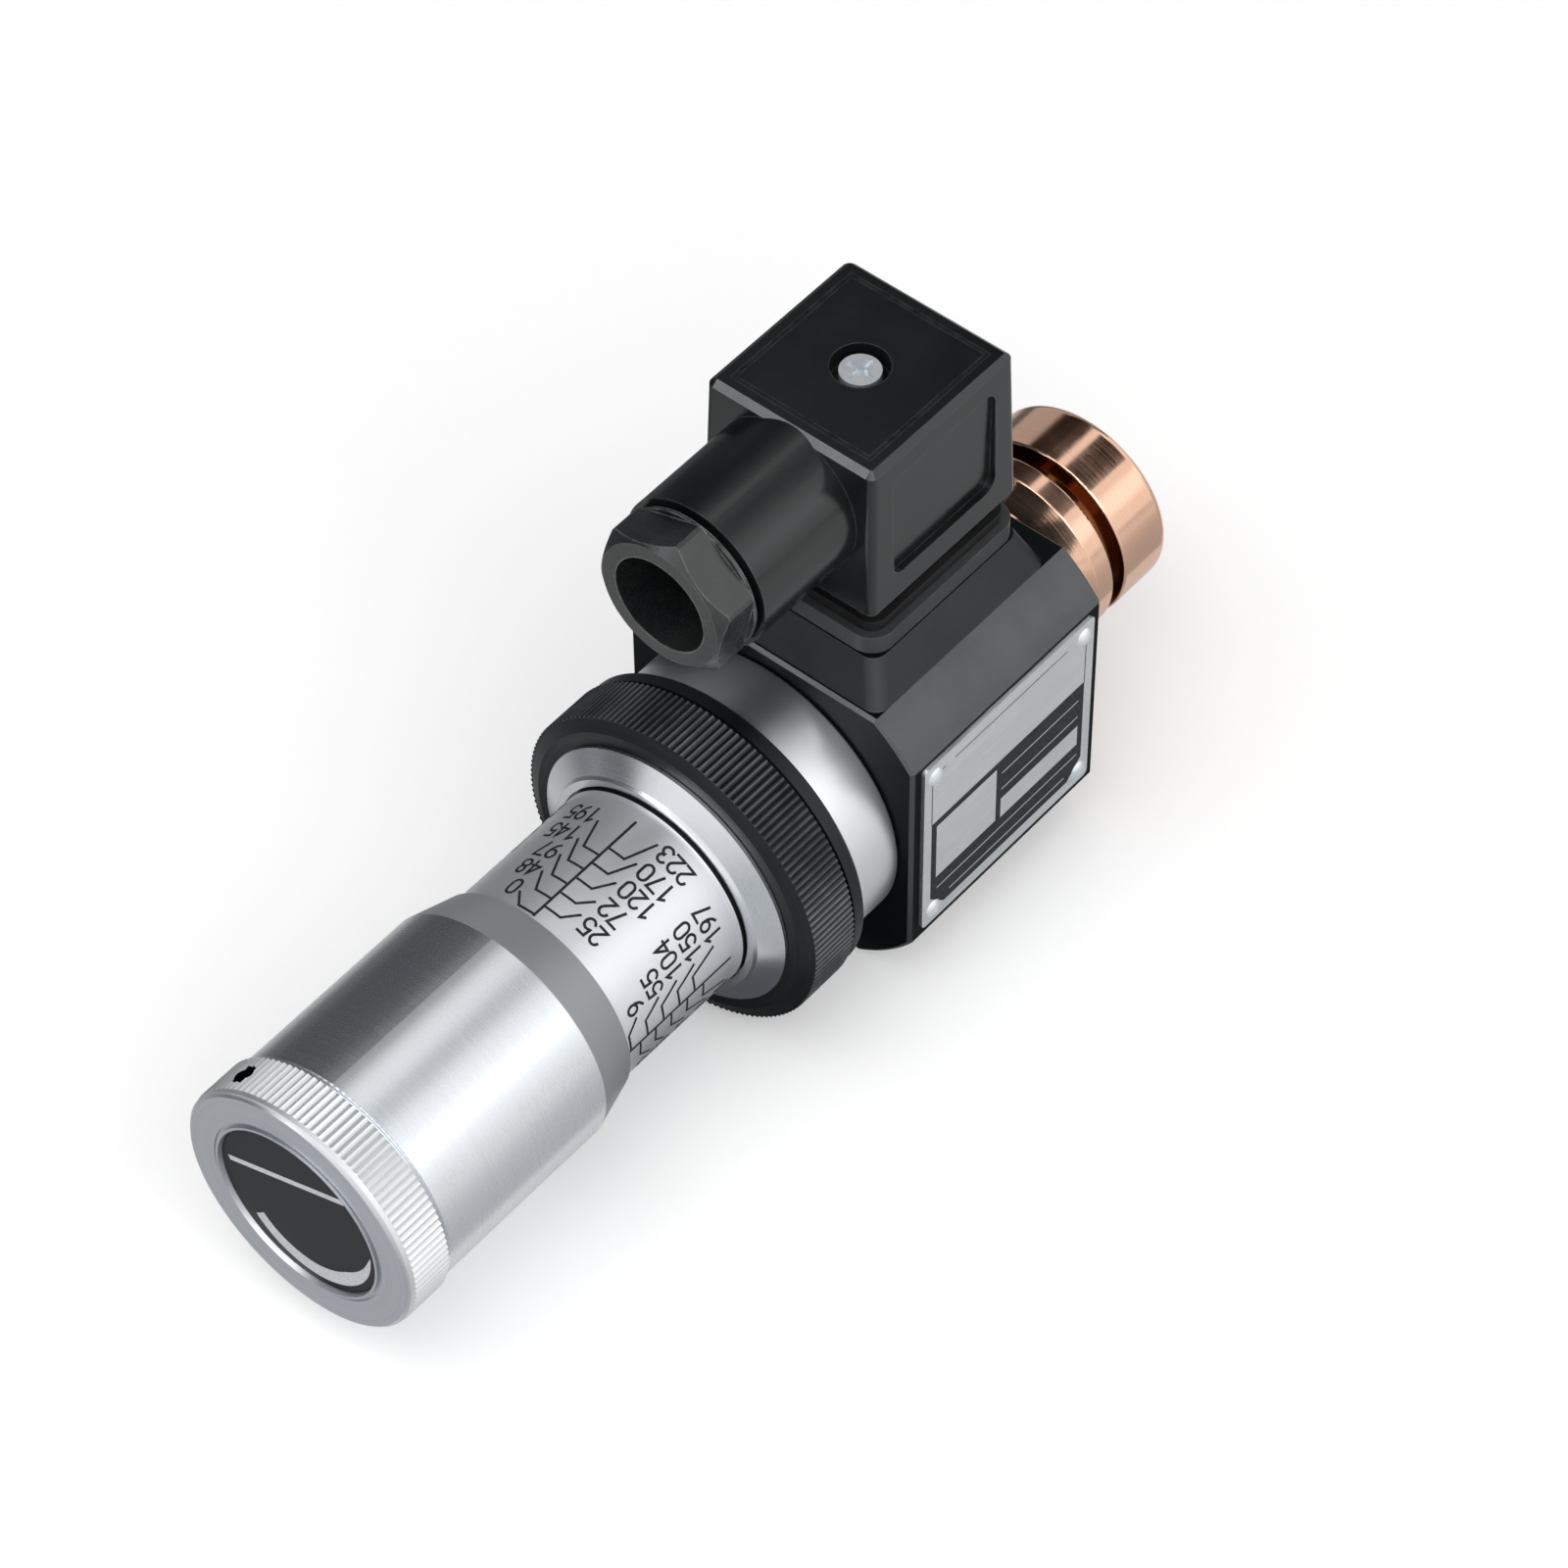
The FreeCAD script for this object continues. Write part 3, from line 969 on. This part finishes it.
def make_plug():
    """Gasket, terminal insert, plug housing with its gland tube, and the centre screw."""
    at = ("connector_place", "0", "0")
    gasket = padded("gasket_slab", rectangle("gasket_half", "gasket_half"), "gasket_thickness",
                    start="flange_top", at=at)
    dressed(gasket, "Fillet", "gasket_corners", "riser_corner", slants_up)
    opening = "platform_half + side_gap"
    window = block("gasket_window", ("2 * (%s)" % opening, "2 * (%s)" % opening, "gasket_thickness + 2"),
                   ("connector_place - (%s)" % opening, "-(%s)" % opening, "flange_top - 1"))
    subpart(without("plug_gasket", gasket, [window]), "plug_gasket")
    slab = padded("insert_slab_body", rectangle("insert_slab_half", "insert_slab_half"), "insert_slab",
                  start="gasket_top", at=at)
    dressed(slab, "Fillet", "slab_corners", "riser_corner", slants_up)
    core = block("insert_core", ("2 * insert_half_x", "2 * insert_half_y", "insert_height + 1"),
                 ("connector_place - insert_half_x", "-insert_half_y", "slab_top - 1"))
    recess = block("insert_recess", ("2 * (%s)" % opening, "2 * (%s)" % opening,
                                     "platform_height - gasket_thickness + side_gap + 1"),
                   ("connector_place - (%s)" % opening, "-(%s)" % opening, "gasket_top - 1"))
    well = cylinder("pillar_well", "pillar_radius + side_gap", "pillar_top - gasket_top + side_gap + 1",
                    ("connector_place", "0", "gasket_top - 1"))
    through = cylinder("insert_screw_hole", "screw_radius + side_gap", "insert_top - gasket_top + 2",
                       ("connector_place", "0", "gasket_top - 1"))
    tools = [recess, well, through]
    for side_x, side_y in ((-1, 0), (1, 0), (0, -1), (0, 1)):
        size_x = "blade_thickness" if side_x else "blade_width"
        size_y = "blade_thickness" if side_y else "blade_width"
        tools.append(block(
            "blade_socket", (size_x + " + 2 * side_gap", size_y + " + 2 * side_gap",
                             "blade_height - gasket_thickness + clear_gap + 1"),
            ("connector_place + %d * blade_offset - %s / 2 - side_gap" % (side_x, size_x),
             "%d * blade_offset - %s / 2 - side_gap" % (side_y, size_y), "gasket_top - 1")))
    screws = []
    for across, along in ((-1, -1), (-1, 1), (1, -1), (1, 1)):
        screw_x = "connector_place + %d * terminal_screw_offset" % along
        screw_y = "%d * terminal_screw_offset" % across
        foot = (screw_x, screw_y, "insert_top - terminal_screw_depth")
        tools.append(cylinder("terminal_tapping", "terminal_screw_radius", "terminal_screw_depth + 1", foot))
        shank = cylinder("terminal_shank", "terminal_screw_radius", "terminal_screw_depth", foot)
        head = cylinder("terminal_head", "terminal_head_radius", "terminal_head_height",
                        (screw_x, screw_y, "insert_top"))
        screws.append(joined("terminal_screw", [shank, head]))
    subpart(without("terminal_insert", joined("insert_blank", [slab, core]), tools), "terminal_insert")
    subpart(grouped("terminal_screws", screws), "terminal_screws")

    half_x, half_y = "(plug_top_length / 2)", "(plug_top_width / 2)"
    shell = tapered("plug_shell", (half_x + " + plug_draft", half_y + " + plug_draft"), (half_x, half_y),
                    "slab_top", "plug_top", at)
    dressed(shell, "Fillet", "plug_corners", "plug_corner", slants_up)
    dressed(shell, "Chamfer", "plug_top_edges", "plug_bevel", lies_at_height("plug_top"))
    tube = cylinder("gland_tube", "gland_radius", "gland_reach + plug_wall",
                    ("tube_front", "0", "gland_axis"), ALONG_X)
    inner_x, inner_y = "(plug_top_length / 2 - plug_wall)", "(plug_top_width / 2 - plug_wall)"
    inset_x, inset_y = "(plug_top_length / 2 - plug_line_inset)", "(plug_top_width / 2 - plug_line_inset)"
    line_outer = block("plug_line_outer", ("2 * " + inset_x, "2 * " + inset_y, "plug_line_depth + 1"),
                       ("connector_place - " + inset_x, "-" + inset_y, "plug_top - plug_line_depth"))
    line_inner = block(
        "plug_line_inner",
        ("2 * (%s - plug_line_width)" % inset_x, "2 * (%s - plug_line_width)" % inset_y, "plug_line_depth + 3"),
        ("connector_place - (%s - plug_line_width)" % inset_x, "-(%s - plug_line_width)" % inset_y,
         "plug_top - plug_line_depth - 1"))
    panel = padded("side_panel", rectangle(half_x + " - panel_margin", "plug_height / 2 - panel_margin",
                                           "connector_place", "slab_top + plug_height / 2"),
                   "2 * (panel_depth + plug_draft)", role="XZ_Plane", start=half_y + " - panel_depth")
    dressed(panel, "Fillet", "panel_corners", "panel_corner", runs_across)
    housing_tools = [
        block("plug_cavity", ("2 * " + inner_x, "2 * " + inner_y, "roof_under - slab_top + 1"),
              ("connector_place - " + inner_x, "-" + inner_y, "slab_top - 1")),
        without("plug_line", line_outer, [line_inner]),
        panel,
        cylinder("screw_well", "screw_well_radius", "screw_well_depth + 1", ("connector_place", "0", "well_floor")),
        cylinder("screw_passage", "screw_radius + side_gap", "plug_roof + 2",
                 ("connector_place", "0", "roof_under - 1")),
        cylinder("gland_thread", "gland_bore", "gland_bore_depth + 1", ("tube_front - 1", "0", "gland_axis"),
                 ALONG_X),
        cylinder("cable_passage", "gland_passage", "connector_place - tube_front - insert_half_x",
                 ("tube_front", "0", "gland_axis"), ALONG_X),
    ]
    subpart(without("plug_housing", joined("plug_blank", [shell, tube]), housing_tools), "plug_housing")

    screw_end = "pillar_top - pillar_height"
    shank = cylinder("centre_screw_shank", "screw_radius", "well_floor - (%s)" % screw_end,
                     ("connector_place", "0", screw_end))
    head = cylinder("centre_screw_head", "screw_head_radius", "screw_head_height",
                    ("connector_place", "0", "well_floor"))
    reach = "(0.75 * screw_head_radius)"
    slot_z = "well_floor + screw_head_height - screw_slot_depth"
    slots = [
        block("screw_slot_x", ("2 * " + reach, "screw_slot_width", "screw_slot_depth + 1"),
              ("connector_place - " + reach, "-screw_slot_width / 2", slot_z)),
        block("screw_slot_y", ("screw_slot_width", "2 * " + reach, "screw_slot_depth + 1"),
              ("connector_place - screw_slot_width / 2", "-" + reach, slot_z)),
    ]
    subpart(without("centre_screw", joined("centre_screw_blank", [shank, head]), slots), "centre_screw")


def make_gland():
    """Gland nut, thrust washer and rubber seal in the gland tube."""
    at = ("0", "0", "gland_axis")
    blank = turned("nut_blank", [
        ("nut_front", "nut_bore"), ("nut_front", "nut_trim_radius - nut_bevel"),
        ("nut_front + nut_bevel", "nut_trim_radius + edge_break"),
        ("nut_rear - nut_flange", "nut_trim_radius + edge_break"), ("nut_rear - nut_flange", "nut_bore"),
    ], at)
    hexagon = doc.addObject("Part::Prism", "nut_hexagon")
    hexagon.Polygon = 6
    hexagon.setExpression("Circumradius", bound("nut_corner_radius"))
    hexagon.setExpression("Height", bound("nut_length"))
    turn = FreeCAD.Rotation(FreeCAD.Vector(1, 0, 0), measured("nut_turn")).multiply(ALONG_X)
    place(hexagon, ("nut_front", "0", "gland_axis"), turn)
    shank = turned("nut_shank_tube", [
        ("nut_rear - nut_flange", "nut_bore"), ("nut_rear - nut_flange", "nut_flange_radius"),
        ("nut_rear", "nut_flange_radius"), ("nut_rear", "gland_bore - fit_gap"),
        ("shank_end", "gland_bore - fit_gap"), ("shank_end", "nut_bore"),
    ], at)
    subpart(joined("gland_nut", [both("nut_head", blank, hexagon), shank]), "gland_nut")
    outer = "gland_bore - fit_gap"
    subpart(turned("gland_washer", [
        ("shank_end", "washer_bore"), ("shank_end", outer), ("washer_rear", outer), ("washer_rear", "washer_bore"),
    ], at), "gland_washer")
    subpart(turned("gland_seal", [
        ("washer_rear", "cable_bore + edge_break"), ("washer_rear", outer), ("gland_floor", outer),
        ("gland_floor", "cable_bore + edge_break"), ("gland_floor - edge_break", "cable_bore"),
        ("washer_rear + edge_break", "cable_bore"),
    ], at), "gland_seal")


def make_nameplate():
    """Metal plate on the side, held by four rivets with domed heads."""
    half_x, half_z = "(plate_length / 2)", "(plate_height / 2)"
    plate = padded("plate_sheet", rectangle(half_x, half_z, "plate_middle", "plate_rise"), "plate_thickness",
                   role="XZ_Plane", start="block_width / 2")
    dressed(plate, "Fillet", "plate_corners", "plate_corner", runs_across)
    holes, rivets = [], []
    for along, up in ((-1, -1), (-1, 1), (1, -1), (1, 1)):
        rivet_x = "plate_middle + %d * rivet_half_x" % along
        rivet_z = "plate_rise + %d * rivet_half_z" % up
        holes.append(cylinder("plate_hole", "rivet_radius", "plate_thickness + 2",
                              (rivet_x, "-block_width / 2 - plate_thickness - 1", rivet_z), ALONG_Y))
        shank = cylinder("rivet_shank", "rivet_radius", "plate_thickness + rivet_depth",
                         (rivet_x, "-block_width / 2 - plate_thickness", rivet_z), ALONG_Y)
        dome = doc.addObject("Part::Sphere", "rivet_dome")
        dome.setExpression("Radius", bound("rivet_ball"))
        dome.setExpression("Angle1", bound("rivet_angle"))
        sunk = "rivet_ball * sin(rivet_angle * 1 deg)"
        outward = FreeCAD.Rotation(FreeCAD.Vector(1, 0, 0), 90)
        place(dome, (rivet_x, "-block_width / 2 - plate_thickness + " + sunk, rivet_z), outward)
        rivets.append(joined("nameplate_rivet", [shank, dome]))
    subpart(without("nameplate", plate, holes), "nameplate")
    subpart(grouped("nameplate_rivets", rivets), "nameplate_rivets")


for make in (make_body_block, make_collar, make_lock_ring, make_clamp_nose, make_barrel, make_drum,
             make_spring_train, make_hydraulic_end, make_switch, make_connector, make_lead_wires, make_plug,
             make_gland, make_nameplate):
    make()
doc.recompute()

# Every object must have computed, and every sub-part must be a sound solid, before anything is written
for item in doc.Objects:
    if "Invalid" in item.State or "Error" in item.State:
        raise RuntimeError(item.Name + " did not compute")
for item in subparts:
    if item.Shape.isNull() or not item.Shape.isValid() or not item.Shape.Solids:
        raise RuntimeError(item.Label + " is not a sound solid")

os.makedirs("parts", exist_ok=True)
for item in subparts:
    item.Shape.exportStep("parts/" + item.Label + ".step")
print("%d sub-parts written" % len(subparts))
